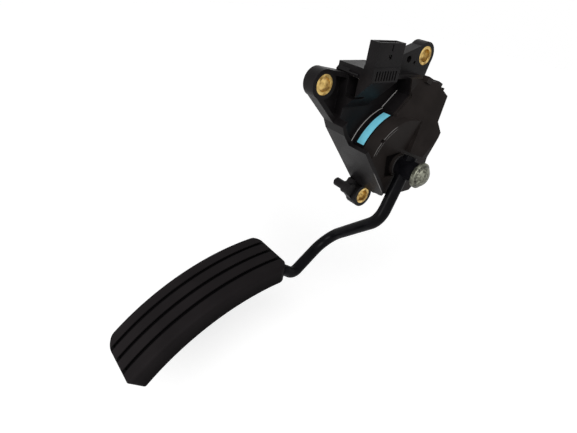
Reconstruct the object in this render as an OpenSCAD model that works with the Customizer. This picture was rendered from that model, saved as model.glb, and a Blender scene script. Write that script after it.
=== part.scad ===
// Accelerator pedal sensor, in millimetres.
// The origin is the lower bolt's axis on the mounting plane. +X points along the pivot axis,
// away from the mounting plane; +Y points forward, away from the driver; +Z points up.
// Every outline drawn in the YZ plane is measured from the pivot axis.

/* [Mounting] */
// Thickness of the three lugs and length of the brass limiters
lug_t = 8; // [6:0.5:10]
// Diameter of the round lug ends
boss_d = 16; // [15:0.5:18]
// Outer diameter of the brass limiters
limiter_od = 11; // [10:0.5:12]
// Bore of the brass limiters
limiter_bore = 7.6; // [6.4:0.1:8]
// Left bolt, sideways from the lower bolt
left_bolt_y = -53.5; // [-56:0.5:-51]
// Left bolt, above the lower bolt
left_bolt_z = 76.5; // [74:0.5:79]
// Right bolt, sideways from the lower bolt
right_bolt_y = 26; // [24:0.5:28]
// Right bolt, above the lower bolt
right_bolt_z = 91; // [89:0.5:93]
// Diameter of the locating peg
peg_d = 5.8; // [5:0.2:7]
// Length of the peg behind the mounting plane
peg_len = 8; // [5:0.5:12]
// Diameter of the moulding hole in the right lug's web
web_hole_d = 4; // [2:0.2:5]

/* [Pivot] */
// Pivot axis, sideways from the lower bolt
pivot_y = 4; // [3:0.5:5]
// Pivot axis, above the lower bolt
pivot_z = 30; // [29:0.5:31]
// Diameter of the axle's journals
axle_d = 8; // [7.4:0.1:8.6]
// Diameter of the tenon that passes through the lever
tenon_d = 4.4; // [3.6:0.2:5]
// Outer diameter of the lever's hub
hub_d = 12; // [11:0.5:13]
// Thickness of the thrust washer
washer_t = 0.6; // [0.4:0.1:0.6]
// Radial running clearance of the axle in its bushes
run_gap = 0.05; // [0.02:0.01:0.1]
// Wall of the two plain bushes
bush_wall = 2; // [1.5:0.1:2.5]
// Back of the cap's rim, in front of the mounting plane
cap_x = 41.5; // [40.5:0.5:42.5]
// Diameter of the cap's rim
cap_d = 16; // [14:0.5:18]
// Height of the cap's dome over its rim
cap_dome = 4.5; // [3:0.5:6]
// Pedal travel in degrees
travel = 18; // [14:1:20]

/* [Housing] */
// Outer radius of the drum
drum_r = 32; // [31:0.5:33]
// Wall of the moulded housing
wall = 2.5; // [2:0.1:3]
// Distance of the flat driver's wall from the pivot
flat_off = 20.4; // [19.8:0.2:21]
// Front of the floor beside the drum
floor_x = 9; // [8.5:0.5:10]
// Front edge of the housing shell
shell_x = 19; // [18:0.5:20]
// Front edge of the driver's wall
flat_x = 29.4; // [28.6:0.2:30]
// Level of the housing's underside, below the pivot
under_z = 24; // [23:0.5:25]
// Level of the housing's top, above the pivot
top_z = 57; // [56:0.5:58]
// Thickness of the bead round the drum
bead_t = 1.4; // [0.8:0.2:2]
// Height of the bead round the drum
bead_h = 1; // [0.6:0.1:1.4]

/* [Front cover] */
// Front face of the cover's dish
face_x = 26.4; // [25.8:0.2:26.6]
// Front face of the cover's raised plate
plate_x = 33; // [31:0.5:34]
// Radius of the dish at its rim
dish_r = 28.4; // [27.4:0.2:29]
// Thickness of the cover's walls
cover_t = 2.4; // [2:0.1:2.8]

/* [Connector] */
// Length of the connector shroud
plug_len = 20; // [19:0.5:21]
// Thickness of the connector shroud
plug_t = 6.6; // [6.6:0.2:8]
// Height of the shroud over the housing
plug_h = 14; // [13:0.5:18]
// Wall of the shroud
plug_wall = 1.2; // [1:0.05:1.25]
// Number of connector pins
pin_count = 6; // [4:1:6]
// Distance between neighbouring pins
pin_pitch = 2.5; // [2:0.1:2.7]
// Width of each square pin
pin_w = 0.8; // [0.5:0.1:1]
// Height of the pins in the socket
pin_h = 7; // [5:0.5:7.5]
// Number of slots in the comb below the shroud
comb_count = 8; // [6:1:9]

/* [Sensor] */
// Depth of the rear cover's seat
rear_t = 2; // [1.8:0.1:2.2]
// Thickness of the flat seal under the rear cover
seal_t = 0.5; // [0.4:0.1:0.8]
// Thickness of the circuit board
board_t = 1.2; // [1:0.1:1.6]
// Depth of the sensor chamber in front of the rear cover
chamber_d = 5; // [4.6:0.1:5.4]
// Radius of the round part of the sensor chamber
chamber_r = 24; // [23:0.5:25]
// Radius of the wiper carrier
carrier_r = 14; // [12:0.5:15]

/* [Springs] */
// Wire of the outer return spring
outer_wire = 2.2; // [1.8:0.1:2.3]
// Mean coil radius of the outer return spring
outer_coil = 14.8; // [14.4:0.1:15.2]
// Wire of the inner return spring
inner_wire = 1.9; // [1.6:0.1:2.1]
// Mean coil radius of the inner return spring
inner_coil = 10.8; // [10.4:0.1:11.2]

/* [Lever] */
// Diameter of the lever rod
rod_d = 8; // [7.4:0.2:8.4]
// Radius of the rod's two long bends, measured to its centreline
knee_r = 18; // [14:1:19]
// Radius of the rod's two short bends, measured to its centreline
toe_r = 8; // [7:0.5:9]
// Centreline of the lever in front of the mounting plane
rod_x = 31.2; // [31:0.2:32]
// Height of the rod's top end over the pivot
rod_top = 7.2; // [6.6:0.2:7.6]
// First bend, toward the driver
knee_y = -11; // [-13:0.5:-9]
// First bend, below the pivot
knee_z = -35; // [-38:0.5:-34]
// Second bend, sideways
heel_x = -11; // [-14:0.5:-8]
// Second bend, toward the driver
heel_y = -9.5; // [-12:0.5:-7]
// Second bend, below the pivot
heel_z = -73.5; // [-76:0.5:-71]
// Third bend, away from the pad's end
toe_run = 9.6; // [9:0.2:12]
// Third bend, below the rod's end in the pad
toe_drop = 6.8; // [6:0.2:8]

/* [Pad] */
// Width of the pad
pad_w = 41; // [36:1:46]
// Height of the pad's side walls
pad_h = 12.5; // [12:0.5:14]
// Wall of the pad
pad_wall = 3; // [2.6:0.1:3.4]
// Radius of the pad's curved top
pad_r = 159; // [150:1:180]
// Top edge of the pad, toward the driver from the pivot
pad_y = -53.6; // [-56:0.2:-51]
// Top edge of the pad, below the pivot
pad_z = -76.9; // [-79:0.1:-75]
// Slope angle of the pad at its top edge
pad_lean = 1.3; // [0:0.1:6]
// Right edge of the pad in front of the mounting plane
pad_side = 0.5; // [-1:0.5:2]
// Depth of the rod's centre under the pad's top face
rod_depth = 7.3; // [7:0.1:7.8]
// Distance of the rod's centre from the pad's right edge
rod_inset = 5.4; // [5.4:0.2:7]
// Length of rod held in the pad
rod_hold = 10; // [8:1:12]
// Length of the pad along its curve
pad_len = 124.5; // [112:0.5:132]
// Number of long grooves
groove_count = 3; // [2:1:4]
// Width of each groove
groove_w = 2; // [1.4:0.2:2.6]
// Depth of each groove
groove_d = 1.4; // [0.8:0.1:1.8]

/* [Hidden] */
$fn = 96;

black = "#26282a";
steel_black = "#1f2126";
steel = "#9a9da0";
brass = "#c79a3b";
zinc = "#b9bcb4";

// Bolt centres measured from the pivot
left_bolt = [left_bolt_y - pivot_y, left_bolt_z - pivot_z];
right_bolt = [right_bolt_y - pivot_y, right_bolt_z - pivot_z];
lower_bolt = [-pivot_y, -pivot_z];
boss_r = boss_d / 2;
peg_at = lower_bolt + [-11, 5.5];

// The driver's wall is a flat at this angle, measured along from its middle
flat_angle = 220;
flat_dir = [cos(flat_angle), sin(flat_angle)];
flat_run = [-flat_dir[1], flat_dir[0]];
function on_flat(s) = flat_off * flat_dir + s * flat_run;
fin_t = wall - 0.3;
flat_top = -43;
flat_ledge = -35;
flat_foot = 9;
ledge_x = 16;
corner_r = 6;
heel_angle = 245;
heel_off = 22.8;

column_left = -42;
column_right = column_left + plug_len;
web_corner = [-46, 25];
plug_back = shell_x - 0.5;
plug_front = plug_back + plug_t;
comb_x = plug_front + 0.4;
ledge_t = 1.8;
comb_z = top_z - 5.5;
tongue_top = top_z - 5;

kink = [1, 41];
tangent_end = [-9, 31.5];
core_top = 51;

axle_r = axle_d / 2;
bush_r = axle_r + run_gap + bush_wall;
drum_in = drum_r - wall;
partition_back = rear_t + chamber_d;
partition_x = partition_back + 2.5;
cover_in = face_x - cover_t;
snap_gap = 0.3;
plate_slope = 21;
plate_edge = 72.8;
plate_clear = rod_top + rod_d / 2 - 2;
plate_low = plate_clear * [cos(plate_edge), sin(plate_edge)] + 0.3 * [1, 0];

// The circuit board, the contacts and the wiper carrier, one in front of the other
board_x = rear_t + 0.6;
board_front = board_x + board_t;
carrier_x = partition_back - 2.5;
carrier_t = 2;

// The spring hub's flange, with the springs in front of it
disc_t = 1.6;
hub_x = partition_x + disc_t + 0.2;
hub_flange = 3;
hub_r = axle_r + 3.6;
flange_r = outer_coil + outer_wire / 2 + 0.9;
arm_angle = 100;
arm_w = 6;
arm_r = drum_in - 2.5;
stop_t = 3;
coil_x = hub_x + hub_flange + 0.3;
coil_end = cover_in - 1.8;
leg_bend = 1.6;
leg_angle = 20;
front_bush_x = 20;

// The lever's hub and the cap stand on the axle's tenon
hub_back = face_x + washer_t + 0.1;
rod_r = rod_d / 2;
bend_swell = 0.03;
tenon_r = tenon_d / 2;
cap_rim = 1.5;
cap_r = cap_d / 2;

pin_x = plug_back + plug_t / 2;
pin_foot = top_z - 6.5;
function pin_y(i) = column_left + plug_len / 2 + (i - (pin_count - 1) / 2) * pin_pitch;

// Centre of the pad's curve and the lever's corners
pad_start = 90 + pad_lean;
pad_end = pad_start + pad_len / pad_r * 180 / PI;
pad_centre = [pad_y, pad_z] - pad_r * [cos(pad_start), sin(pad_start)];
function on_pad(r, a) = pad_centre + r * [cos(a), sin(a)];
function along_pad(l) = l / pad_r * 180 / PI;
rod_entry = on_pad(pad_r - rod_depth, pad_start);
knee = [rod_x, knee_y, knee_z];
heel = [heel_x, heel_y, heel_z];
entry = [pad_side - rod_inset, rod_entry[0], rod_entry[1]];
rod_top_end = [rod_x, knee_y / knee_z * rod_top, rod_top];
toe = entry + [0, toe_run, -toe_drop];
rod_end = entry + rod_hold * [0, cos(pad_start + 90), sin(pad_start + 90)];

function unit(v) = v / norm(v);

module on_pivot() translate([0, pivot_y, pivot_z]) children();

// A profile drawn in YZ, extruded from x0 to x1
module along_x(x0, x1)
    translate([x0, 0, 0]) rotate([90, 0, 90]) linear_extrude(x1 - x0) children();

// A round bar along the pivot axis, and the same at a point of the YZ plane
module round_x(x0, x1, r) translate([x0, 0, 0]) rotate([0, 90, 0]) cylinder(r = r, h = x1 - x0);

module round_at(p, x0, x1, r) translate([0, p[0], p[1]]) round_x(x0, x1, r);

// A profile of radius and X, swept about the pivot axis between two angles
module sweep_x(a0, a1)
    rotate([0, 90, 0]) rotate([0, 0, a0 + 90]) rotate_extrude(angle = a1 - a0) children();

// Places what is drawn along X, Y and Z along the unit vectors u, v and w
module framed(p, u, v, w)
    translate(p) rotate([atan2(v[2], w[2]), -asin(u[2]), atan2(u[1], u[0])]) children();

// A straight round bar between two points
module bar(a, b, r) {
    w = unit(b - a);
    side = abs(w[0]) < 0.9 ? [1, 0, 0] : [0, 1, 0];
    u = unit(cross(side, w));
    framed(a, u, cross(w, u), w) cylinder(r = r, h = norm(b - a));
}

// The angle a bar turns at corner b, where the bend starts and ends, and its centre
function turn(a, b, c) = acos(unit(b - a) * unit(c - b));
function bend_in(a, b, c, q) = b - unit(b - a) * q * tan(turn(a, b, c) / 2);
function bend_out(a, b, c, q) = b + unit(c - b) * q * tan(turn(a, b, c) / 2);
function bend_mid(a, b, c, q) = b + unit(unit(c - b) - unit(b - a)) * q / cos(turn(a, b, c) / 2);

// The round bend of a bar of radius r at corner b, its centreline at radius q
module bend(a, b, c, q, r) {
    v = unit(b - a);
    u = unit(bend_in(a, b, c, q) - bend_mid(a, b, c, q));
    framed(bend_mid(a, b, c, q), u, v, cross(u, v)) rotate_extrude(angle = turn(a, b, c))
        translate([q, 0]) circle(r = r);
}

// The side of a straight cut that holds the pivot
module inside_2d(angle, off)
    rotate(angle) translate([off - 200, -200]) square([200, 400]);

module above_2d(z) translate([-200, z]) square([400, 400]);

// A round drum cut by the driver's wall and the underside, drawn in by a margin
module drum_2d(r, inset = 0)
    intersection() {
        circle(r = r);
        inside_2d(flat_angle, flat_off - inset);
        inside_2d(heel_angle, heel_off - inset);
        above_2d(inset - under_z);
    }

// Everything below a plane that rises inward from point p, along direction a
module below_slope(p, x0, a, slope)
    translate([x0, p[0], p[1]]) rotate([a, 0, 0]) rotate([0, 0, -slope])
        translate([-100, -200, -200]) cube([100, 400, 400]);

// Closed part of the housing right of the drum's straight wall
module core_2d(inset = 0)
    polygon([
        tangent_end + [inset, -7.5], tangent_end + [inset, -inset / 3], kink + [inset, -inset / 3],
        [-1.5 + inset, core_top - inset], [16 - inset / 2, core_top - inset],
        [30 - inset, 42 - inset / 2], [27 - inset, 26], [31 - inset, 18], [29 - inset, 2], [0, 2]
    ]);

// Outline of the whole housing at the mounting plane
module body_2d()
    polygon([
        on_flat(flat_top), on_flat(flat_foot), [-4, -under_z], [14, -under_z], [25, -14], [29, 2],
        [31, 18], [27, 26], [30, 42], [16, core_top], [column_right, core_top + 1.5],
        [column_right, top_z], [column_left + 2, top_z], [column_left - 1.5, top_z - 4],
        [column_left, top_z - 7], [column_left, 29], web_corner
    ]);

// The open valley between the left wall and the drum
module valley_2d()
    difference() {
        polygon([
            on_flat(flat_top) + [wall, 1], on_flat(flat_ledge + 6) + [wall, 2], [-22, 10], [0, 20],
            [kink[0], kink[1] - 4], [4, core_top - 1], [column_right, core_top - 1],
            [column_right, 56], [column_left - 1, 56], [column_left - 1, 28], web_corner + [wall, 0]
        ]);
        drum_2d(drum_r);
        core_2d();
    }

// Round sensor chamber, and its tongue up to the connector, grown by a margin
module chamber(x0, x1, grow) {
    along_x(x0, x1) drum_2d(chamber_r + grow, wall + 2 - grow);
    along_x(x0, x1) polygon([
        [-19 - grow, -grow], [column_left + 3 - grow, 25 - grow / 2],
        [column_left + 3 - grow, tongue_top + grow], [column_right - 3 + grow, tongue_top + grow],
        [column_right - 3 + grow, 25 + grow], [0, 10], [0, 0]
    ]);
}

// Webs that carry the lugs
module left_web_2d()
    polygon([
        left_bolt + [0, boss_r], [column_left + 1, 52], [column_left + 4, 50],
        [column_left + 4, 26], web_corner, left_bolt + boss_r * [-0.88, -0.48], left_bolt
    ]);

module left_rims_2d() {
    polygon([
        web_corner, left_bolt + boss_r * [-0.88, -0.48],
        left_bolt + (boss_r - wall) * [-0.88, -0.48], web_corner + [wall, 1.2]
    ]);
    polygon([
        left_bolt + [0, boss_r], [column_left + 1, 52], [column_left + 1, 52 - wall],
        left_bolt + [0, boss_r - wall]
    ]);
}

module right_web_2d()
    polygon([
        [column_right, core_top], [column_right, core_top + 4], [0, core_top + 10.5],
        right_bolt + boss_r * [-0.7, 0.71], right_bolt, right_bolt + boss_r * [0.9, -0.44],
        [26, 44], [8, 44]
    ]);

module lower_web_2d()
    polygon([
        lower_bolt + [-boss_r * 0.4, -boss_r * 0.9], peg_at + [-peg_d * 0.6, -1], [-13, -18],
        [12, -under_z + 2], lower_bolt + [boss_r, 0], lower_bolt
    ]);

module connector_column()
    translate([0, column_right, 0]) rotate([90, 0, 0]) linear_extrude(plug_len)
        polygon([
            [0, 28], [floor_x - 0.5, 28], [floor_x - 0.5, 33], [comb_x, comb_z],
            [comb_x, top_z + ledge_t], [plug_back - 0.4, top_z + ledge_t], [plug_back - 0.4, top_z],
            [0, top_z]
        ]);

module shroud_well()
    translate([plug_back + plug_wall, column_left + plug_wall, top_z + 1.5])
        cube([plug_t - 2 * plug_wall, plug_len - 2 * plug_wall, plug_h]);

// The open shroud round the connector pins, with its latch window and slot
module connector_shroud()
    difference() {
        translate([plug_back, column_left, top_z - 1]) cube([plug_t, plug_len, plug_h + 1]);
        shroud_well();
        translate([plug_front - plug_wall - 1, column_left + 9, top_z + 6])
            cube([plug_wall + 2, 2.2, 2.2]);
        translate([plug_front - 0.6, column_left + 10, top_z + 10]) cube([1, 1, 3.2]);
    }

module comb_slots() {
    pitch = (plug_len - 3) / comb_count;
    for (i = [0 : comb_count - 1])
        translate([comb_x - 2.2, column_left + 1.9 + i * pitch, comb_z + 0.8])
            cube([3, pitch * 0.5, top_z - comb_z - 0.6]);
}

module pins() {
    for (i = [0 : pin_count - 1]) {
        translate([pin_x - pin_w / 2, pin_y(i) - pin_w / 2, pin_foot])
            cube([pin_w, pin_w, top_z + 1.5 + pin_h - pin_foot]);
        translate([board_front, pin_y(i) - pin_w / 2, pin_foot])
            cube([pin_x - board_front, pin_w, pin_w]);
    }
}

// The spring hub's arm at rest, turned by a
module at_arm(a) rotate([arm_angle - 90 + a, 0, 0]) children();

// Rounds the lower front corner of the driver's wall, clear of the lever
module flat_corner()
    rotate([flat_angle, 0, 0]) translate([flat_x - corner_r, flat_off + 1, flat_foot - corner_r])
        rotate([90, 0, 0]) linear_extrude(wall + 2) difference() {
            square(corner_r + 1);
            circle(r = corner_r + 0.06);
        }

module drum_ribs()
    intersection() {
        union() {
            at_arm(0) translate([partition_x - 1, arm_w / 2 + 0.1 + stop_t, flange_r + 1.5])
                cube([hub_flange + disc_t + 2, wall, drum_r]);
            at_arm(travel) translate([partition_x - 1, -arm_w / 2 - 0.5 - wall, flange_r + 1.5])
                cube([hub_flange + disc_t + 2, wall, drum_r]);
        }
        round_x(0, shell_x, drum_in + 0.5);
    }

module housing()
    color(black) on_pivot() {
        difference() {
            union() {
                along_x(0, floor_x) body_2d();
                along_x(0, ledge_x) difference() {
                    body_2d();
                    valley_2d();
                }
                along_x(0, shell_x) {
                    drum_2d(drum_r);
                    core_2d();
                }
                along_x(floor_x - 1, floor_x + bead_t) {
                    drum_2d(drum_r + bead_h);
                    polygon([tangent_end, kink, kink + [-0.7, 0.7], tangent_end + [-0.9, 0.8]]);
                }
                along_x(0, flat_x) polygon([
                    on_flat(flat_ledge), on_flat(flat_foot),
                    on_flat(flat_foot) - fin_t * flat_dir, on_flat(flat_ledge) - fin_t * flat_dir
                ]);
                difference() {
                    connector_column();
                    shroud_well();
                }
                connector_shroud();
                along_x(0, 3) left_web_2d();
                along_x(0, lug_t) {
                    left_rims_2d();
                    right_web_2d();
                }
                along_x(0, 5) lower_web_2d();
                for (b = [left_bolt, right_bolt, lower_bolt]) round_at(b, 0, lug_t, boss_r);
                round_at(peg_at, 0, 6, peg_d / 2 + 1.2);
                round_at(peg_at, -peg_len, 1, peg_d / 2);
                translate([-peg_len - 1.2, peg_at[0], peg_at[1]]) rotate([0, 90, 0])
                    cylinder(d1 = peg_d - 2.4, d2 = peg_d, h = 1.2);
            }
            for (b = [left_bolt, right_bolt, lower_bolt])
                round_at(b, -1, lug_t + 1, limiter_od / 2);
            chamber(-1, rear_t, 1.5);
            chamber(-1, partition_back, 0);
            along_x(partition_x, shell_x + 1) drum_2d(drum_in, wall);
            along_x(floor_x, shell_x + 1) difference() {
                core_2d(wall);
                circle(r = drum_r);
            }
            round_x(0, partition_x + 1, bush_r);
            // Recess behind the column's front, open to the left
            translate([floor_x, column_left - 1, 40]) cube([7.2, 9, comb_z - 40]);
            comb_slots();
            pins();
            round_at([7, 59], -1, lug_t + 1, web_hole_d / 2);
            round_at([13, 57], lug_t - 1.6, lug_t + 1, web_hole_d / 4);
            flat_corner();
        }
        drum_ribs();
    }

// Everything behind the sloping face of the cover's raised plate
module behind_slope()
    intersection() {
        below_slope(tangent_end, shell_x + 1.4, -43.5, plate_slope);
        translate([-1, -100, -100]) cube([plate_x + 1, 200, 200]);
    }

// The plate's own area, which stands out of the round dish
module plate_2d()
    polygon([
        plate_low, [11, 29], [6, 36], [6, core_top - 1.5], [17, core_top - 1.5], [20.7, 49.2],
        [19.6, 47.2], [24.5, 46.2], [23.4, 43.9], [27.3, 42], [21.8, 27], [24.5, 20.6],
        plate_low + 14.6 * [cos(plate_edge - 90), sin(plate_edge - 90)]
    ]);

module front_cover()
    color("#303031") on_pivot() difference() {
        union() {
            intersection() {
                translate([shell_x, 0, 0]) rotate([0, 90, 0])
                    cylinder(r1 = drum_r - 1, r2 = dish_r, h = face_x - shell_x);
                along_x(shell_x, face_x) drum_2d(drum_r, wall + snap_gap);
            }
            along_x(shell_x, shell_x + 1) core_2d();
            intersection() {
                union() {
                    along_x(shell_x, face_x) core_2d(1);
                    along_x(shell_x, plate_x) plate_2d();
                }
                behind_slope();
            }
            for (p = [[9, core_top - 1.5], [20, core_top - 4.5]])
                along_x(shell_x, shell_x + 4) translate(p) rotate(-20) square([5, 3.4]);
            round_x(front_bush_x, face_x, bush_r + 1.8);
        }
        // Notch in the dish's rim for the snap hook
        rotate([140, 0, 0]) translate([face_x - 1.4, dish_r - 1.4, -1]) cube([3, 4, 2]);
        // Hollow behind the dish and behind the raised plate
        difference() {
            union() {
                along_x(shell_x - 1, cover_in)
                    drum_2d(dish_r - cover_t, wall + snap_gap + cover_t / 2);
                along_x(shell_x - 1, cover_in + 1) polygon([[9, 14], [15, 8], [20, 20], [18, 30], [12, 25]]);
            }
            round_x(front_bush_x, plate_x, bush_r + 1.8);
        }
        // Window beside the lever's hub
        along_x(face_x - 1.6, face_x + 1) difference() {
            polygon([[-15, 8], [-2, 9], [-2, -7], [-12, -7]]);
            circle(r = bush_r + 1.6);
        }
        round_x(front_bush_x - 1, face_x + 1, bush_r);
        leg_hole(outer_coil, outer_wire);
        leg_hole(inner_coil, inner_wire);
    }

module leg_hole(coil, wire)
    rotate([leg_angle, 0, 0]) translate([coil_end, coil, leg_bend])
        rotate([0, 90, 0]) cylinder(r = wire / 2 + 0.2, h = cover_in + 1.4 - coil_end);

module rear_cover()
    color(black) on_pivot() chamber(0.2, rear_t - seal_t, 1.4);

module cover_seal()
    color("#3a3a3c") on_pivot() difference() {
        chamber(rear_t - seal_t, rear_t, 1.4);
        chamber(0, rear_t + 1, 0);
    }

module limiter(b)
    color(brass) on_pivot() difference() {
        round_at(b, 0, lug_t, limiter_od / 2);
        round_at(b, -1, lug_t + 1, limiter_bore / 2);
    }

module limiter_left() limiter(left_bolt);

module limiter_right() limiter(right_bolt);

module limiter_lower() limiter(lower_bolt);

module colour_label()
    color("#5bbcd6") on_pivot() sweep_x(110.5, 154.5)
        translate([drum_r, 13.6]) square([0.15, shell_x - 0.15 - 13.6]);

module connector_pins() color(brass) on_pivot() pins();

module circuit_board()
    color("#2f6b3f") on_pivot() chamber(board_x, board_front, -0.3);

module bush(x0, x1)
    difference() {
        round_x(x0, x1, bush_r);
        round_x(x0 - 1, x1 + 1, axle_r + run_gap);
    }

module front_bush() color("#b08a4e") on_pivot() bush(front_bush_x, face_x);

module rear_bush() color("#b08a4e") on_pivot() bush(partition_back, partition_x);

module friction_disc()
    color("#6b5a46") on_pivot() difference() {
        round_x(partition_x, partition_x + disc_t, flange_r - 1);
        round_x(partition_x - 1, partition_x + disc_t + 1, bush_r + 1.6);
    }

module end_stop()
    color("#2b2b2b") on_pivot() at_arm(0)
        translate([partition_x, arm_w / 2 + 0.1, flange_r + 2.5])
            cube([hub_flange + disc_t, stop_t, arm_r - flange_r - 3]);

// A close-wound spring whose front leg bends forward into the cover
function spring_turns(wire) = (coil_end - coil_x - wire) / (wire * 1.12);

module spring(coil, wire) {
    n = ceil(spring_turns(wire) * 24);
    x0 = coil_x + wire / 2;
    x1 = coil_end - wire / 2;
    rise = atan((x1 - x0) / (2 * PI * coil * spring_turns(wire)));
    m = 6;
    first = leg_angle - spring_turns(wire) * 360;
    // Each station: point along X, angle about the pivot, tangential shift, rise
    stations = concat(
        [for (i = [0 : n]) [x0 + (x1 - x0) * i / n, first + (leg_angle - first) * i / n, 0, rise]],
        [for (i = [1 : m]) let (a = rise + (90 - rise) * i / m)
            [x1 + leg_bend * (cos(rise) - cos(a)), leg_angle, leg_bend * (sin(a) - sin(rise)), a]],
        [[cover_in + 1.2, leg_angle, leg_bend * (1 - sin(rise)), 90]]
    );
    sides = 10;
    points = [for (s = stations) for (j = [0 : sides - 1])
        let (
            out = [0, cos(s[1]), sin(s[1])],
            round = [0, -sin(s[1]), cos(s[1])],
            up = [cos(s[3]), 0, 0] - sin(s[3]) * round,
            a = 360 * j / sides
        )
        [s[0], 0, 0] + coil * out + s[2] * round + wire / 2 * (cos(a) * out + sin(a) * up)
    ];
    last = (len(stations) - 1) * sides;
    polyhedron(points, concat(
        [[for (j = [0 : sides - 1]) j]],
        [for (i = [0 : len(stations) - 2]) for (j = [0 : sides - 1])
            let (k = (j + 1) % sides)
            [i * sides + j, (i + 1) * sides + j, (i + 1) * sides + k, i * sides + k]],
        [[for (j = [sides - 1 : -1 : 0]) last + j]]
    ), convexity = 10);
}

module outer_spring() color(steel) on_pivot() spring(outer_coil, outer_wire);

module inner_spring() color(steel) on_pivot() spring(inner_coil, inner_wire);

// The axle carries the wiper at its back and the lever on its front tenon
module pivot_axle()
    color(steel) on_pivot() {
        round_x(carrier_x, hub_back, axle_r);
        round_x(hub_back - 1, cap_x + cap_rim + 1, tenon_r);
    }

module spring_hub()
    color("#50504a") on_pivot() difference() {
        union() {
            round_x(hub_x, hub_x + hub_flange, flange_r);
            round_x(hub_x, front_bush_x - 0.4, hub_r);
            at_arm(0) translate([hub_x + 0.2, -arm_w / 2, axle_r + 1])
                cube([hub_flange - 0.4, arm_w, arm_r - axle_r - 1]);
        }
        round_x(hub_x - 1, front_bush_x, axle_r);
    }

module wiper_carrier()
    color("#d8d4c4") on_pivot() difference() {
        round_x(carrier_x, carrier_x + carrier_t, carrier_r);
        round_x(carrier_x - 1, carrier_x + carrier_t + 1, axle_r);
    }

module wiper_contacts()
    color(brass) on_pivot() for (a = [60, 240]) rotate([a, 0, 0])
        translate([board_front + 0.1, -2, carrier_r - 6])
            cube([carrier_x - board_front - 0.1, 4, 4]);

module thrust_washer()
    color(steel) on_pivot() difference() {
        round_x(face_x + 0.1, hub_back, hub_d / 2 + 0.8);
        round_x(face_x, hub_back + 1, axle_r);
    }

// The lever, from its flat-cut top end to its end in the pad
module lever_bar(r) {
    a = rod_top_end;
    b = knee;
    c = heel;
    d = toe;
    e = entry;
    f = rod_end;
    lap = 0.6;
    bar(a, bend_in(a, b, c, knee_r) + unit(b - a) * lap, r);
    bend(a, b, c, knee_r, r + bend_swell);
    bar(bend_out(a, b, c, knee_r) - unit(c - b) * lap, bend_in(b, c, d, knee_r) + unit(c - b) * lap, r);
    bend(b, c, d, knee_r, r + bend_swell);
    bar(bend_out(b, c, d, knee_r) - unit(d - c) * lap, bend_in(c, d, e, toe_r) + unit(d - c) * lap, r);
    bend(c, d, e, toe_r, r + bend_swell);
    bar(bend_out(c, d, e, toe_r) - unit(e - d) * lap, bend_in(d, e, f, toe_r) + unit(e - d) * lap, r);
    bend(d, e, f, toe_r, r + bend_swell);
    bar(bend_out(d, e, f, toe_r) - unit(f - e) * lap, f, r);
}

module lever_rod()
    color(steel_black) on_pivot() difference() {
        lever_bar(rod_r);
        round_x(rod_x - rod_d, rod_x + rod_d, tenon_r);
    }

module lever_hub()
    color(steel_black) on_pivot() difference() {
        round_x(hub_back, cap_x, hub_d / 2);
        round_x(hub_back - 1, cap_x + 1, tenon_r);
        bar(rod_top_end, knee, rod_r);
        bar([rod_x, 0, 0], rod_top_end * 2 - [rod_x, 0, 0], rod_r);
    }

module axle_cap()
    color(zinc) on_pivot() difference() {
        union() {
            round_x(cap_x, cap_x + cap_rim, cap_r);
            translate([cap_x + cap_rim, 0, 0]) rotate([0, 90, 0]) rotate_extrude()
                intersection() {
                    translate([0, cap_dome - dome_r]) circle(r = dome_r);
                    square([cap_r - 0.6, cap_dome]);
                }
        }
        round_x(cap_x - 1, cap_x + cap_rim + 1, tenon_r);
    }

dome_r = ((cap_r - 0.6) * (cap_r - 0.6) + cap_dome * cap_dome) / (2 * cap_dome);

// Cross-section of the pad: radius of its curve across, X along
module pad_section_2d(depth) {
    edge = 2.5;
    left = pad_side - pad_w;
    translate([pad_r - depth, left]) square([depth - edge, pad_w]);
    translate([pad_r - edge - 1, left + edge]) square([edge + 1, pad_w - 2 * edge]);
    translate([pad_r - edge, left + edge]) circle(r = edge);
    translate([pad_r - edge, pad_side - edge]) circle(r = edge);
}

module pad_grooves_2d()
    for (i = [1 : groove_count])
        translate([pad_r - groove_d, pad_side - i * pad_w / (groove_count + 1) - groove_w / 2])
            square([groove_d + 1, groove_w]);

// Rounds one corner of the pad to radius r, seen from above
module pad_corner(a, x, turned, r)
    translate([0, pad_centre[0], pad_centre[1]]) rotate([a - 90, 0, 0])
        translate([x, 0, pad_r - pad_h - 4]) rotate([0, 0, turned]) linear_extrude(pad_h + 8)
            difference() {
                translate([-0.5, -0.5]) square(r + 0.5);
                translate([r, r]) circle(r = r + 0.06);
            }

groove_end = 3;

module pad_sweep(a0, a1)
    translate([0, pad_centre[0], pad_centre[1]]) sweep_x(a0, a1) children();

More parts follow.
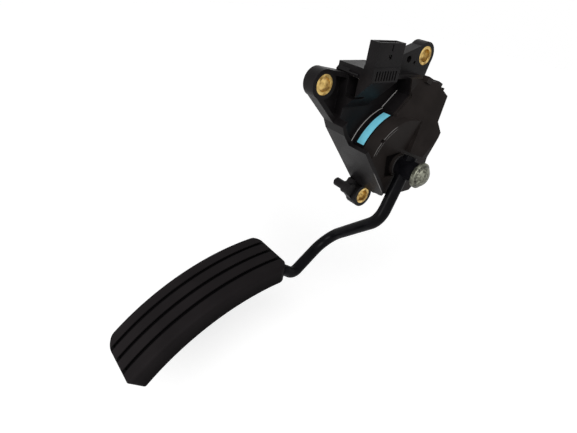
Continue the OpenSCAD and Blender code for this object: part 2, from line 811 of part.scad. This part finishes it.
module pedal_pad()
    color("#2e2f31") on_pivot() difference() {
        union() {
            difference() {
                pad_sweep(pad_start, pad_end) pad_section_2d(pad_h);
                pad_sweep(pad_start + along_pad(groove_end), pad_end - along_pad(groove_end))
                    pad_grooves_2d();
                pad_sweep(pad_start + along_pad(pad_wall), pad_end - along_pad(pad_wall))
                    translate([pad_r - pad_h - 1, pad_side - pad_w + pad_wall])
                        square([pad_h + 1 - pad_wall, pad_w - 2 * pad_wall]);
            }
            // Cross ribs under the pad, and the block that holds the lever
            for (f = [0.25, 0.5, 0.75])
                pad_sweep(pad_start + along_pad(f * pad_len - 0.8), pad_start + along_pad(f * pad_len + 0.8))
                    translate([pad_r - pad_h + 1, pad_side - pad_w + 1])
                        square([pad_h - pad_wall + 0.5, pad_w - 2]);
            pad_sweep(pad_start, pad_start + along_pad(rod_hold + 3))
                translate([pad_r - pad_h + 0.2, pad_side - rod_inset - rod_d * 0.9])
                    square([pad_h - 0.2 - pad_wall + 0.5, rod_inset + rod_d * 0.9 - 1]);
        }
        pad_corner(pad_start, pad_side, 180, 7);
        pad_corner(pad_start, pad_side - pad_w, -90, 9);
        pad_corner(pad_end, pad_side, 90, 3);
        pad_corner(pad_end, pad_side - pad_w, 0, 12);
        lever_bar(rod_r);
    }

housing();
front_cover();
rear_cover();
cover_seal();
limiter_left();
limiter_right();
limiter_lower();
colour_label();
connector_pins();
circuit_board();
front_bush();
rear_bush();
friction_disc();
end_stop();
outer_spring();
inner_spring();
pivot_axle();
spring_hub();
wiper_carrier();
wiper_contacts();
thrust_washer();
lever_hub();
lever_rod();
axle_cap();
pedal_pad();
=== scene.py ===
import math

import bmesh
import bpy
from mathutils import Matrix, Vector


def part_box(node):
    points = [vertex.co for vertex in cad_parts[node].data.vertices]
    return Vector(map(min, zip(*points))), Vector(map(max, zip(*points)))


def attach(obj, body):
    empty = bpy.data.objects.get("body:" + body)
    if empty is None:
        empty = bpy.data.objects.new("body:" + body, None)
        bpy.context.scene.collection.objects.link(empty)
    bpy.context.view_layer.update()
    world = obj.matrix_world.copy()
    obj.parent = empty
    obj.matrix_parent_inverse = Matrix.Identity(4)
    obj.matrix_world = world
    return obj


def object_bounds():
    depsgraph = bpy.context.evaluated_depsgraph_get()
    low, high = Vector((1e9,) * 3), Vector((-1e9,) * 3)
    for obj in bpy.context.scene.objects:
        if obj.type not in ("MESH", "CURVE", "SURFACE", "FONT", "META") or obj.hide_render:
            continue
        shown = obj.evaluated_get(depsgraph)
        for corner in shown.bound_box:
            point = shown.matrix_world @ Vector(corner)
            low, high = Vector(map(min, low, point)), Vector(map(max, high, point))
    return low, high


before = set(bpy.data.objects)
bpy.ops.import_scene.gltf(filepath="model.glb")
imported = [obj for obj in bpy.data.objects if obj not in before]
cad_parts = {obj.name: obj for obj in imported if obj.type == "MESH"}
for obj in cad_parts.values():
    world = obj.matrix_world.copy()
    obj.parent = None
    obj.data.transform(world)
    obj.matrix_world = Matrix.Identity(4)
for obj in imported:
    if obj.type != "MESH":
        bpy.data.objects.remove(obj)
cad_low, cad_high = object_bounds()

# Camera: it stands above and to the right of the driver's side of the pedal, about 280 mm
# away, where the photograph was taken from. The lens is as long as the picture is high.
eye = Vector((0.17226, -0.21287, 0.12797))
to_right = Vector((0.605, 0.785, 0.136)).normalized()
backward = Vector((0.641, -0.581, 0.501)).normalized()
upward = backward.cross(to_right).normalized()
to_right = upward.cross(backward)
picture_width, picture_height = 577.0, 433.0
lens = bpy.data.cameras.new("camera")
lens.sensor_width = 36.0
lens.lens = lens.sensor_width * picture_height / picture_width
lens.clip_start = 0.01
lens.clip_end = 20.0
camera = bpy.data.objects.new("camera", lens)
camera.matrix_world = Matrix((
    (to_right.x, upward.x, backward.x, eye.x),
    (to_right.y, upward.y, backward.y, eye.y),
    (to_right.z, upward.z, backward.z, eye.z),
    (0.0, 0.0, 0.0, 1.0)))
bpy.context.collection.objects.link(camera)
bpy.context.scene.camera = camera
bpy.context.scene.view_settings.view_transform = "Standard"


# Backdrop: the sheet of white paper under and behind the pedal, plain and without a seam.
# It lies loose, 50 mm below the pad's lowest point. Its glow, which only the camera and
# reflections see, lifts it to white and lights nothing.
class Wire:
    """One output of a shader node, so that shader maths reads as plain arithmetic."""

    def __init__(self, tree, socket):
        self.tree, self.socket = tree, socket

    def node(self, kind, settings=None, inputs=None, output=0):
        """A new node of the tree, with its settings and inputs, as a wire from one output."""
        made = self.tree.nodes.new("ShaderNode" + kind)
        for name, value in (settings or {}).items():
            setattr(made, name, value)
        for name, value in (inputs or {}).items():
            if isinstance(value, Wire):
                self.tree.links.new(value.socket, made.inputs[name])
            else:
                made.inputs[name].default_value = value
        return Wire(self.tree, made.outputs[output])

    def maths(self, operation, *others):
        return self.node("Math", {"operation": operation}, dict(enumerate((self, *others))))

    def __add__(self, other):
        return self.maths("ADD", other)

    __radd__ = __add__

    def __mul__(self, other):
        return self.maths("MULTIPLY", other)

    __rmul__ = __mul__

    def __sub__(self, other):
        return self.maths("SUBTRACT", other)

    def __rsub__(self, other):
        return self.node("Math", {"operation": "SUBTRACT"}, {0: other, 1: self})

    def between(self, low, high):
        """Rises smoothly from 0 at low to 1 at high."""
        return self.node("MapRange", {"interpolation_type": "SMOOTHSTEP"},
                         {"Value": self, "From Min": low, "From Max": high})

    def mix(self, first, second):
        """The first colour where this wire is 0, the second where it is 1."""
        first, second = [c if isinstance(c, Wire) else (*c, 1.0) for c in (first, second)]
        # The Mix node's sockets for colours are its inputs 6 and 7 and its output 2.
        return self.node("Mix", {"data_type": "RGBA"}, {0: self, 6: first, 7: second}, 2)


def new_finish(name, specular=0.5, **constants):
    """A material: its shader, and a loose wire that starts its node chains."""
    made = bpy.data.materials.new(name)
    made.use_nodes = True
    shader = made.node_tree.nodes["Principled BSDF"]
    shader.inputs["Specular IOR Level"].default_value = specular
    for key, value in constants.items():
        shader.inputs[key.replace("_", " ").title()].default_value = value
    return made, Wire(made.node_tree, None), shader


def seen_by(start, *kinds):
    """1 for rays of the kinds named, such as "Is Camera Ray", and 0 for all others."""
    wire = start.node("LightPath", output=kinds[0])
    for kind in kinds[1:]:
        wire = wire.maths("MAXIMUM", start.node("LightPath", output=kind))
    return wire


sheet_half = 1.5
sheet_drop = 0.05
sheet_middle = (-1.1, 0.9, cad_low.z - sheet_drop)
sheet = bmesh.new()
bmesh.ops.create_grid(sheet, x_segments=1, y_segments=1, size=sheet_half)
bmesh.ops.translate(sheet, verts=sheet.verts, vec=sheet_middle)
floor_mesh = bpy.data.meshes.new("floor")
sheet.to_mesh(floor_mesh)
sheet.free()
floor = bpy.data.objects.new("floor", floor_mesh)
bpy.context.collection.objects.link(floor)
paper, paper_start, paper_shader = new_finish("white_paper", specular=0.0, roughness=0.9,
                                              emission_strength=1.0)
paper_shader.inputs["Base Color"].default_value = (0.80, 0.80, 0.80, 1.0)
paper_glow = seen_by(paper_start, "Is Camera Ray", "Is Glossy Ray").mix(
    (0.0, 0.0, 0.0), (0.42, 0.42, 0.42))
paper.node_tree.links.new(paper_glow.socket, paper_shader.inputs["Emission Color"])
floor_mesh.materials.append(paper)

# Light: a pale overcast room, a broad lamp high behind the camera, and a soft box low on
# the driver's side, at a plain level together. The camera, metal and glass see the room
# white, at a strength of 1.
world = bpy.data.worlds.new("studio")
bpy.context.scene.world = world
world.use_nodes = True
room = world.node_tree.nodes["Background"]
room_level = 0.35
room_white = seen_by(Wire(world.node_tree, None),
                     "Is Camera Ray", "Is Glossy Ray", "Is Transmission Ray")
room.inputs["Color"].default_value = (1.0, 1.0, 1.0, 1.0)
world.node_tree.links.new((room_white * (1.0 - room_level) + room_level).socket,
                          room.inputs["Strength"])


def aimed(name, lamp, place, target):
    """Hangs a lamp at a place, turned to shine at the target."""
    holder = bpy.data.objects.new(name, lamp)
    aim = (Vector(place) - Vector(target)).to_track_quat("Z", "Y")
    holder.matrix_world = Matrix.Translation(place) @ aim.to_matrix().to_4x4()
    bpy.context.collection.objects.link(holder)


sky = bpy.data.lights.new("sky", "SUN")
sky.energy = 1.9
sky.angle = math.radians(40.0)
aimed("sky", sky, place=(0.6, -0.6, 0.7), target=(0.0, 0.0, 0.0))
soft_box = bpy.data.lights.new("soft_box", "AREA")
soft_box.shape = "DISK"
soft_box.size = 0.5
soft_box.energy = 4.0
aimed("soft_box", soft_box, place=(-0.1, -1.0, 0.05), target=(0.0, -0.03, 0.0))


# Housing: one moulding of black glass-filled nylon, with a fine spark-eroded grain on its
# open faces, and paler corners that are partly rubbed wear and partly painted highlight.
# Painted highlight lines run along the drum's bead and the wall's edge. Three bolts hold it
# to the bulkhead.
def dress(node, finish):
    """Gives a CAD node its finish in every slot it has."""
    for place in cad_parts[node].material_slots:
        place.material = finish


def here(start):
    """The point being shaded, in metres from the frame's origin."""
    return start.node("TexCoord", output="Object")


def part_of(start, axis):
    """One coordinate of the point being shaded, in metres: X, Y or Z."""
    return start.node("SeparateXYZ", None, {"Vector": here(start)}, axis)


def noise(start, size, detail=3.0):
    """Even noise from 0 to 1 with grains of the given size in metres."""
    return start.node("TexNoise", None, {
        "Vector": here(start), "Scale": 1.0 / size, "Detail": detail})


def rounded(start, radius):
    """The surface's normal, with its edges rounded to a radius in metres."""
    return start.node("Bevel", {"samples": 4}, {"Radius": radius})


def edge_of(start, radius):
    """How much the surface turns within a radius: 0 on a flat, up to 1 on an edge."""
    sharp = start.node("NewGeometry", output="Normal")
    along = start.node("VectorMath", {"operation": "DOT_PRODUCT"},
                       {0: rounded(start, radius), 1: sharp}, "Value")
    return (1.0 - along).between(0.0, 0.25)


def bump(start, height, depth, radius=0.00025):
    """A normal with rounded edges, raised by height times depth in metres."""
    return start.node("Bump", None, {
        "Height": height, "Strength": 1.0, "Distance": depth,
        "Normal": rounded(start, radius)})


def feed(shader, **wires):
    """Links each wire to the shader's input of that name."""
    for key, wire in wires.items():
        wire.tree.links.new(wire.socket, shader.inputs[key.replace("_", " ").title()])


def moulded(name, dark, light, specular, rough, grain, shine=None, shade=None):
    """Moulded plastic: patchy tone, grain of the given size, and pale edges that are partly
    rubbed wear and partly painted highlight. The lines that shine draws are painted
    highlights, almost white, and the hollows that shade marks get painted shade, nearly
    black."""
    # Painted light: an almost white painted highlight, and a nearly black painted shade for
    # hollows.
    highlight_white, hollow = (0.42, 0.41, 0.40), (0.0003, 0.0003, 0.0004)
    wear_and_sheen_colour = tuple(2.0 * c + 0.02 for c in light)
    made, start, shader = new_finish(name, specular)
    cloud = noise(start, 0.012, detail=2.0).between(0.3, 0.7)
    # Pale edges: partly rubbed wear, partly painted edge highlight.
    edge_wear_and_sheen = edge_of(start, 0.0006) * noise(start, 0.003, detail=4.0).between(0.35, 0.75)
    spark = noise(start, grain, detail=2.0)
    body = (edge_wear_and_sheen * 0.35).mix(cloud.mix(dark, light), wear_and_sheen_colour)
    if shine:
        body = shine(start).mix(body, highlight_white)
    if shade:
        body = (shade(start) * 0.85).mix(body, hollow)
    feed(shader,
         base_color=body,
         roughness=spark * 0.12 + cloud * 0.06 + (rough - 0.09),
         normal=bump(start, spark, depth=grain * 0.12))
    return made


def band(wire, low, high, blur=0.00006):
    """1 between low and high, and 0 beyond them."""
    return wire.between(low - blur, low) * (1.0 - wire.between(high, high + blur))


def length_of(across, up):
    return (across * across + up * up).maths("SQRT")


pivot_low, pivot_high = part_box("axle_cap")
pivot_y = (pivot_low.y + pivot_high.y) / 2.0
pivot_z = (pivot_low.z + pivot_high.z) / 2.0


def from_pivot(start):
    """Where the point being shaded is from the pivot's axis, along Y and along Z."""
    return part_of(start, "Y") - pivot_y, part_of(start, "Z") - pivot_z


def off_pivot(start):
    """How far the point being shaded lies from the pivot's axis, in metres."""
    return length_of(*from_pivot(start))


def wall_edge_highlight(start):
    """Painted highlight line along the lower half of the front edge of the wall on the
    driver's side.
    """
    wall_turn = math.radians(220.0)
    across, up = from_pivot(start)
    outward = across * math.cos(wall_turn) + up * math.sin(wall_turn)
    downward = up * math.cos(wall_turn) - across * math.sin(wall_turn)
    front = part_of(start, "X").between(0.0290, 0.0292)
    lower_half = band(downward, -0.014, 0.0, blur=0.005)
    return front * outward.between(0.0200, 0.0202) * lower_half


def drum_edge_highlights(start):
    """Painted highlight lines along the front edge of the drum's bead on the driver's side:
    first round the drum, then straight up to the corner beside the column. The wall's painted
    highlight line is fainter."""
    across, up = from_pivot(start)
    low_end, high_end = Vector((-0.0099, 0.0323)), Vector((0.0003, 0.0417))
    way = (high_end - low_end).normalized()
    along = (across - low_end.x) * way.x + (up - low_end.y) * way.y
    above = (up - low_end.y) * way.x - (across - low_end.x) * way.y
    straight = band(along, 0.0, (high_end - low_end).length) * band(above, -0.0002, 0.0002)
    curved = band(off_pivot(start), 0.0328, 0.0332) * (1.0 - along.between(0.0, 0.0002))
    bead = (curved + straight).maths("MINIMUM", 1.0)
    driver_side = up.between(0.008, 0.014) * (1.0 - across.between(0.002, 0.004))
    front = band(part_of(start, "X"), 0.0101, 0.0106)
    return bead * driver_side * front + wall_edge_highlight(start) * 0.5


dress("housing", moulded("black_nylon", dark=(0.0045, 0.0039, 0.0042),
                         light=(0.0085, 0.0074, 0.0078), specular=0.07, rough=0.41,
                         grain=0.0004, shine=drum_edge_highlights))


# Front cover: the same nylon from another tool, a shade browner and smoother. Snap hooks
# round its rim hold it on the drum.
def dish_edge_highlights(start):
    """Painted highlight lines on the double edge of the dish on the driver's side, broken
    where a snap hook leaves a gap.
    """
    off, level = off_pivot(start), part_of(start, "Z")
    rims = band(off, 0.0282, 0.0284) + band(off, 0.0266, 0.02675)
    sides_of_gap = (band(level, 0.0405, 0.0465, blur=0.0015)
                    + band(level, 0.0495, 0.055, blur=0.0015))
    front = part_of(start, "X").between(0.0250, 0.0254)
    driver_side = 1.0 - part_of(start, "Y").between(-0.009, -0.006)
    return rims * sides_of_gap * 0.5 * front * driver_side


def window_floor_shade(start):
    """Painted shade on the floor of the shallow window in the dish beside the lever's hub."""
    floor_level = band(part_of(start, "X"), 0.0246, 0.0250)
    return floor_level * (1.0 - off_pivot(start).between(0.0275, 0.0280))


# The cover gets painted highlight lines along the dish's edge and painted shade on the
# window's floor.
dress("front_cover", moulded("cover_nylon", dark=(0.0110, 0.0088, 0.0080),
                             light=(0.0160, 0.0130, 0.0120), specular=0.05, rough=0.44,
                             grain=0.0003, shine=dish_edge_highlights, shade=window_floor_shade))

# Rear cover: a flat nylon lid over the sensor, welded in all round. Its face is matt, and
# greyer than the housing.
dress("rear_cover", moulded("lid_nylon", dark=(0.010, 0.010, 0.011),
                            light=(0.016, 0.016, 0.017), specular=0.3, rough=0.58,
                            grain=0.0005))

# Cover seal: a flat silicone gasket, squeezed between the lid and its seat. It is dusty
# matt grey-black and takes no polish.
dress("cover_seal", moulded("seal_rubber", dark=(0.018, 0.018, 0.019),
                            light=(0.034, 0.034, 0.036), specular=0.2, rough=0.75,
                            grain=0.0006))

# End stop: a block of moulded nitrile rubber stuck to the drum's rib, where the spring
# hub's arm comes to rest.
dress("end_stop", moulded("stop_rubber", dark=(0.012, 0.012, 0.012),
                          light=(0.024, 0.023, 0.022), specular=0.2, rough=0.8,
                          grain=0.0005))


# Compression limiters: three turned brass tubes pressed into the lugs, which carry the
# bolts' load. They are bright, with turning rings and brown stains in the bore.
def turned(name, dark, light, rough, ring):
    """Turned metal: fine rings about X, and stains that dull it."""
    stretch = (1.0 / ring, 40.0, 40.0)
    made, start, shader = new_finish(name, metallic=1.0)
    stretched = start.node("VectorMath", {"operation": "MULTIPLY"},
                           {0: here(start), 1: stretch})
    rings = start.node("TexNoise", None, {"Vector": stretched, "Scale": 1.0, "Detail": 2.0})
    stain = noise(start, 0.0035, detail=4.0).between(0.35, 0.72)
    feed(shader,
         base_color=stain.mix(light, dark),
         roughness=stain * 0.22 + rings * 0.1 + (rough - 0.1),
         normal=bump(start, rings, depth=0.00003))
    return made


limiter_brass = turned("limiter_brass", dark=(0.20, 0.11, 0.025), light=(0.70, 0.49, 0.170),
                       rough=0.32, ring=0.0003)
for side in ("left", "right", "lower"):
    dress("limiter_" + side, limiter_brass)


# Colour label: a strip of plain sky-blue vinyl glued round the drum. It is a little
# glossy, and slightly wavy where the glue holds it.
def label_finish():
    """Vinyl whose blue has faded in soft patches."""
    made, start, shader = new_finish("label_vinyl", specular=0.4)
    fade = noise(start, 0.004, detail=2.0).between(0.3, 0.7)
    feed(shader,
         base_color=fade.mix((0.180, 0.600, 0.760), (0.205, 0.660, 0.820)),
         roughness=noise(start, 0.0008) * 0.15 + 0.35,
         normal=bump(start, noise(start, 0.0025, detail=1.0), depth=0.00006, radius=0.0001))
    return made


dress("colour_label", label_finish())

# Connector pins: six square bronze pins, moulded into the shroud. Their plating is dull
# tin.
dress("connector_pins", turned("pin_tin", dark=(0.34, 0.33, 0.30), light=(0.62, 0.61, 0.57),
                               rough=0.38, ring=0.0002))


# Circuit board: glass cloth and resin under green lacquer, with copper tracks that show
# as paler lines. It is clamped in the chamber behind the wiper.
def board_finish():
    """Green lacquer over tracks in lanes, broken up where they turn, and a fine weave."""
    lane_pitch, weave_turns = 0.0025, 4000.0
    made, start, shader = new_finish("board_lacquer")
    lane = (part_of(start, "Z") * (1.0 / lane_pitch)).maths("FRACT").between(0.36, 0.42)
    cell = noise(start, 0.006, detail=0.0).between(0.48, 0.52)
    weave = (part_of(start, "Y") * weave_turns).maths("SINE") * 0.5 + 0.5
    track = lane * cell
    feed(shader,
         base_color=track.mix((0.012, 0.085, 0.035), (0.040, 0.170, 0.070)),
         roughness=weave * 0.08 + 0.28,
         normal=bump(start, track + weave * 0.2, depth=0.00004, radius=0.0001))
    return made


dress("circuit_board", board_finish())

# Plain bushes: two rings of sintered bronze soaked in oil and pressed into the nylon. The
# pores make them dull brown.
bush_bronze = turned("bush_bronze", dark=(0.20, 0.12, 0.05), light=(0.46, 0.30, 0.14),
                     rough=0.5, ring=0.0006)
for end in ("front", "rear"):
    dress(end + "_bush", bush_bronze)


# Friction disc: a ring of pressed fibre lining glued to the drum's floor. It is brown,
# with darker and paler fibres through it.
def lining_finish():
    """Matt brown fibre."""
    made, start, shader = new_finish("friction_lining", specular=0.2)
    fibre = noise(start, 0.0012, detail=6.0)
    feed(shader,
         base_color=fibre.between(0.35, 0.65).mix((0.060, 0.040, 0.026),
                                                  (0.190, 0.140, 0.090)),
         roughness=fibre * 0.2 + 0.7,
         normal=bump(start, fibre, depth=0.00012))
    return made


dress("friction_disc", lining_finish())


# Return springs: two coils of oil-tempered wire, one inside the other, hooked in the
# cover. Drawing left fine streaks, and a film of oil dulls them.
def wire_finish():
    """Drawn steel wire, darker under the oil."""
    made, start, shader = new_finish("spring_wire", metallic=1.0)
    streak = noise(start, 0.0009, detail=5.0)
    oil = noise(start, 0.006, detail=2.0).between(0.35, 0.7)
    feed(shader,
         base_color=oil.mix((0.30, 0.30, 0.31), (0.13, 0.12, 0.11)),
         roughness=streak * 0.2 + oil * 0.15 + 0.25,
         normal=bump(start, streak, depth=0.00002))
    return made


spring_wire = wire_finish()
for coil in ("outer", "inner"):
    dress(coil + "_spring", spring_wire)

# Pivot axle: a ground steel journal with a thinner tenon, riveted over at the front. The
# lever and the spring hub turn with it.
dress("pivot_axle", turned("axle_steel", dark=(0.36, 0.36, 0.37), light=(0.62, 0.62, 0.63),
                           rough=0.26, ring=0.00015))

# Spring hub: a moulding of dark, glass-filled nylon that turns with the axle inside the
# drum. Its arm comes to rest on the end stop.
dress("spring_hub", moulded("hub_nylon", dark=(0.060, 0.058, 0.050),
                            light=(0.100, 0.096, 0.084), specular=0.35, rough=0.5,
                            grain=0.0004))

# Wiper carrier: a disc moulded in cream acetal and pressed on the axle's back end. It
# turns the wiper over the board.
dress("wiper_carrier", moulded("carrier_acetal", dark=(0.52, 0.49, 0.38),
                               light=(0.66, 0.62, 0.50), specular=0.45, rough=0.38,
                               grain=0.0005))

# Wiper contacts: two stamped fingers of beryllium bronze staked to the carrier, rubbed
# bright where they run on the board's tracks.
dress("wiper_contacts", turned("contact_bronze", dark=(0.48, 0.30, 0.10),
                               light=(0.80, 0.58, 0.26), rough=0.3, ring=0.0002))

# Thrust washer: a punched ring of dark acetal, loose on the axle between the cover and the
# lever's hub. It is smooth, with a low shine.
dress("thrust_washer", moulded("washer_acetal", dark=(0.012, 0.011, 0.011),
                               light=(0.020, 0.018, 0.018), specular=0.4, rough=0.42,
                               grain=0.0004))


# Lever: a bent steel rod with a hub, brazed together and dipped in black paint. The paint is
# satin, with orange peel, and rubbed thin in places; its pale edges are partly painted
# highlight.
def painted(name):
    """Black paint: peel, patches of dust, and pale edges, partly worn paint and partly
    painted highlight.
    """
    clean, dusty = (0.0020, 0.0020, 0.0026), (0.0062, 0.0059, 0.0070)
    made, start, shader = new_finish(name, specular=0.02, coat_roughness=0.16)
    peel = noise(start, 0.0016, detail=1.0)
    dust = noise(start, 0.010, detail=4.0).between(0.4, 0.75)
    # Pale edges: partly rubbed paint, partly painted edge highlight.
    rub_and_sheen = edge_of(start, 0.0005) * noise(start, 0.002, detail=4.0).between(0.45, 0.7)
    feed(shader,
         base_color=(rub_and_sheen * 0.5).mix(dust.mix(clean, dusty), (0.060, 0.060, 0.064)),
         roughness=dust * 0.14 + peel * 0.08 + 0.30,
         coat_weight=(1.0 - dust) * 0.06,
         normal=bump(start, peel, depth=0.00006))
    return made


rod_paint = painted("rod_paint")
dress("lever_rod", rod_paint)
dress("lever_hub", rod_paint)


# Axle cap: a domed press-on cap of zinc-plated steel. The plating is pale grey-green, with
# dull spangles and small scuffs from the press.
def plated():
    """Zinc plating with spangles, scuffs, and painted shade in the groove inside the rim."""
    spangle_size = 0.0016
    made, start, shader = new_finish("cap_zinc", metallic=1.0)
    grains = start.node("TexVoronoi", {"feature": "F1"},
                        {"Vector": here(start), "Scale": 1.0 / spangle_size}, "Color")
    spangle = grains.node("SeparateColor", None, {"Color": grains}, "Red")
    scuff = noise(start, 0.0012, detail=5.0).between(0.42, 0.72)
    groove_and_shade = band(off_pivot(start), 0.0063, 0.0068, blur=0.0004)
    tone = spangle.between(0.1, 0.9).mix((0.080, 0.081, 0.062), (0.235, 0.238, 0.190))
    feed(shader,
         # The groove is painted dark as shade; the scuffs darken to their own dull colour.
         base_color=(scuff * 0.6 + groove_and_shade * 0.6).mix(tone, (0.035, 0.034, 0.029)),
         roughness=spangle * 0.12 + scuff * 0.2 + 0.34,
         normal=bump(start, scuff + spangle * 0.2 - groove_and_shade * 2.0, depth=0.00010,
                     radius=0.0003))
    return made


dress("axle_cap", plated())

# Pedal pad: a hollow moulding of charcoal polypropylene over the rod's end. Its satin top is
# curved about a line along X and has three long grooves with painted shade in them, and its
# sides are painted darker toward the bottom, as shade.
pad_low, pad_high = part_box("pedal_pad")
pad_width = pad_high.x - pad_low.x
pad_radius, pad_height = 0.159, 0.0125
curve_y, curve_z = -0.0460, -0.20586
groove_half = 0.0013
groove_middles = [pad_high.x - share * pad_width for share in (0.25, 0.50, 0.75)]


def pad_finish():
    """Charcoal plastic with painted shade, darker toward the bottom of the sides and in the
    grooves, and with paler edges that are partly rubbed and partly painted highlight.
    """
    # The two dark colours here are painted shade: one for the lower sides, one for the
    # grooves.
    side_shade, groove_shade = (0.0026, 0.0023, 0.0024), (0.0004, 0.0004, 0.0005)
    made, start, shader = new_finish("pad_plastic", specular=0.01)
    off_curve = length_of(part_of(start, "Y") - curve_y, part_of(start, "Z") - curve_z)
    on_top = off_curve.between(pad_radius - 0.0026, pad_radius - 0.0022)
    # Painted shade: darker toward the bottom of the pad's sides.
    low = 1.0 - off_curve.between(pad_radius - pad_height, pad_radius - 0.001)
    grooves = sum(band(part_of(start, "X"), middle - groove_half, middle + groove_half,
                       blur=0.0003) for middle in groove_middles)
    cloud = noise(start, 0.020, detail=2.0).between(0.25, 0.75)
    spark = noise(start, 0.0005, detail=2.0)
    # Pale edges: partly rubbed wear, partly painted edge highlight.
    rub_and_sheen = edge_of(start, 0.0010) * noise(start, 0.004, detail=4.0).between(0.4, 0.8)
    body = cloud.mix((0.0112, 0.0098, 0.0103), (0.0136, 0.0118, 0.0124))
    body = (low * 0.65).mix(body, side_shade)
    body = (rub_and_sheen * 0.4).mix(body, (0.040, 0.039, 0.038))
    feed(shader,
         # The grooves are painted nearly black as shade.
         base_color=(grooves * on_top * 0.85).mix(body, groove_shade),
         roughness=spark * 0.12 + cloud * 0.05 + 0.32,
         normal=bump(start, spark, depth=0.00006, radius=0.0016))
    return made


pad_plastic = pad_finish()
dress("pedal_pad", pad_plastic)

# Pad corner: the wall that follows the round corner at the pad's far left end, part of the
# pad's own moulding. The solid's square hollow breaks through there, and this closes the
# slit, a hair inside the pad's faces.
pad_lean, pad_length, pad_wall = math.radians(1.3), 0.1245, 0.003
pad_end = math.radians(90.0) + pad_lean + pad_length / pad_radius
round_corner = 0.012
outer_ring = round_corner - 0.00001
inner_ring = outer_ring - pad_wall
underside_level = pad_radius - pad_height + 0.00002
skin_level = pad_radius - 0.002
corner_steps = 12
corner_points, corner_faces = [], []
for step in range(corner_steps + 1):
    turn = math.radians(180 + 90 * step / corner_steps)
    for ring in (outer_ring, inner_ring):
        inward = round_corner + ring * math.cos(turn)
        back = round_corner + ring * math.sin(turn)
        for level in (underside_level, skin_level):
            out = math.sqrt(level ** 2 - back ** 2)
            corner_points.append((
                pad_low.x + inward,
                curve_y + back * math.sin(pad_end) + out * math.cos(pad_end),
                curve_z - back * math.cos(pad_end) + out * math.sin(pad_end)))
for first in range(0, 4 * corner_steps, 4):
    for a, b in ((0, 1), (1, 3), (3, 2), (2, 0)):
        corner_faces.append((first + b, first + a, first + a + 4, first + b + 4))
last = 4 * corner_steps
corner_faces += [(0, 1, 3, 2), (last, last + 2, last + 3, last + 1)]
corner_mesh = bpy.data.meshes.new("pad_corner")
corner_mesh.from_pydata(corner_points, [], corner_faces)
corner_mesh.materials.append(pad_plastic)
pad_corner = bpy.data.objects.new("pad_corner", corner_mesh)
bpy.context.collection.objects.link(pad_corner)
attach(pad_corner, "pedal")
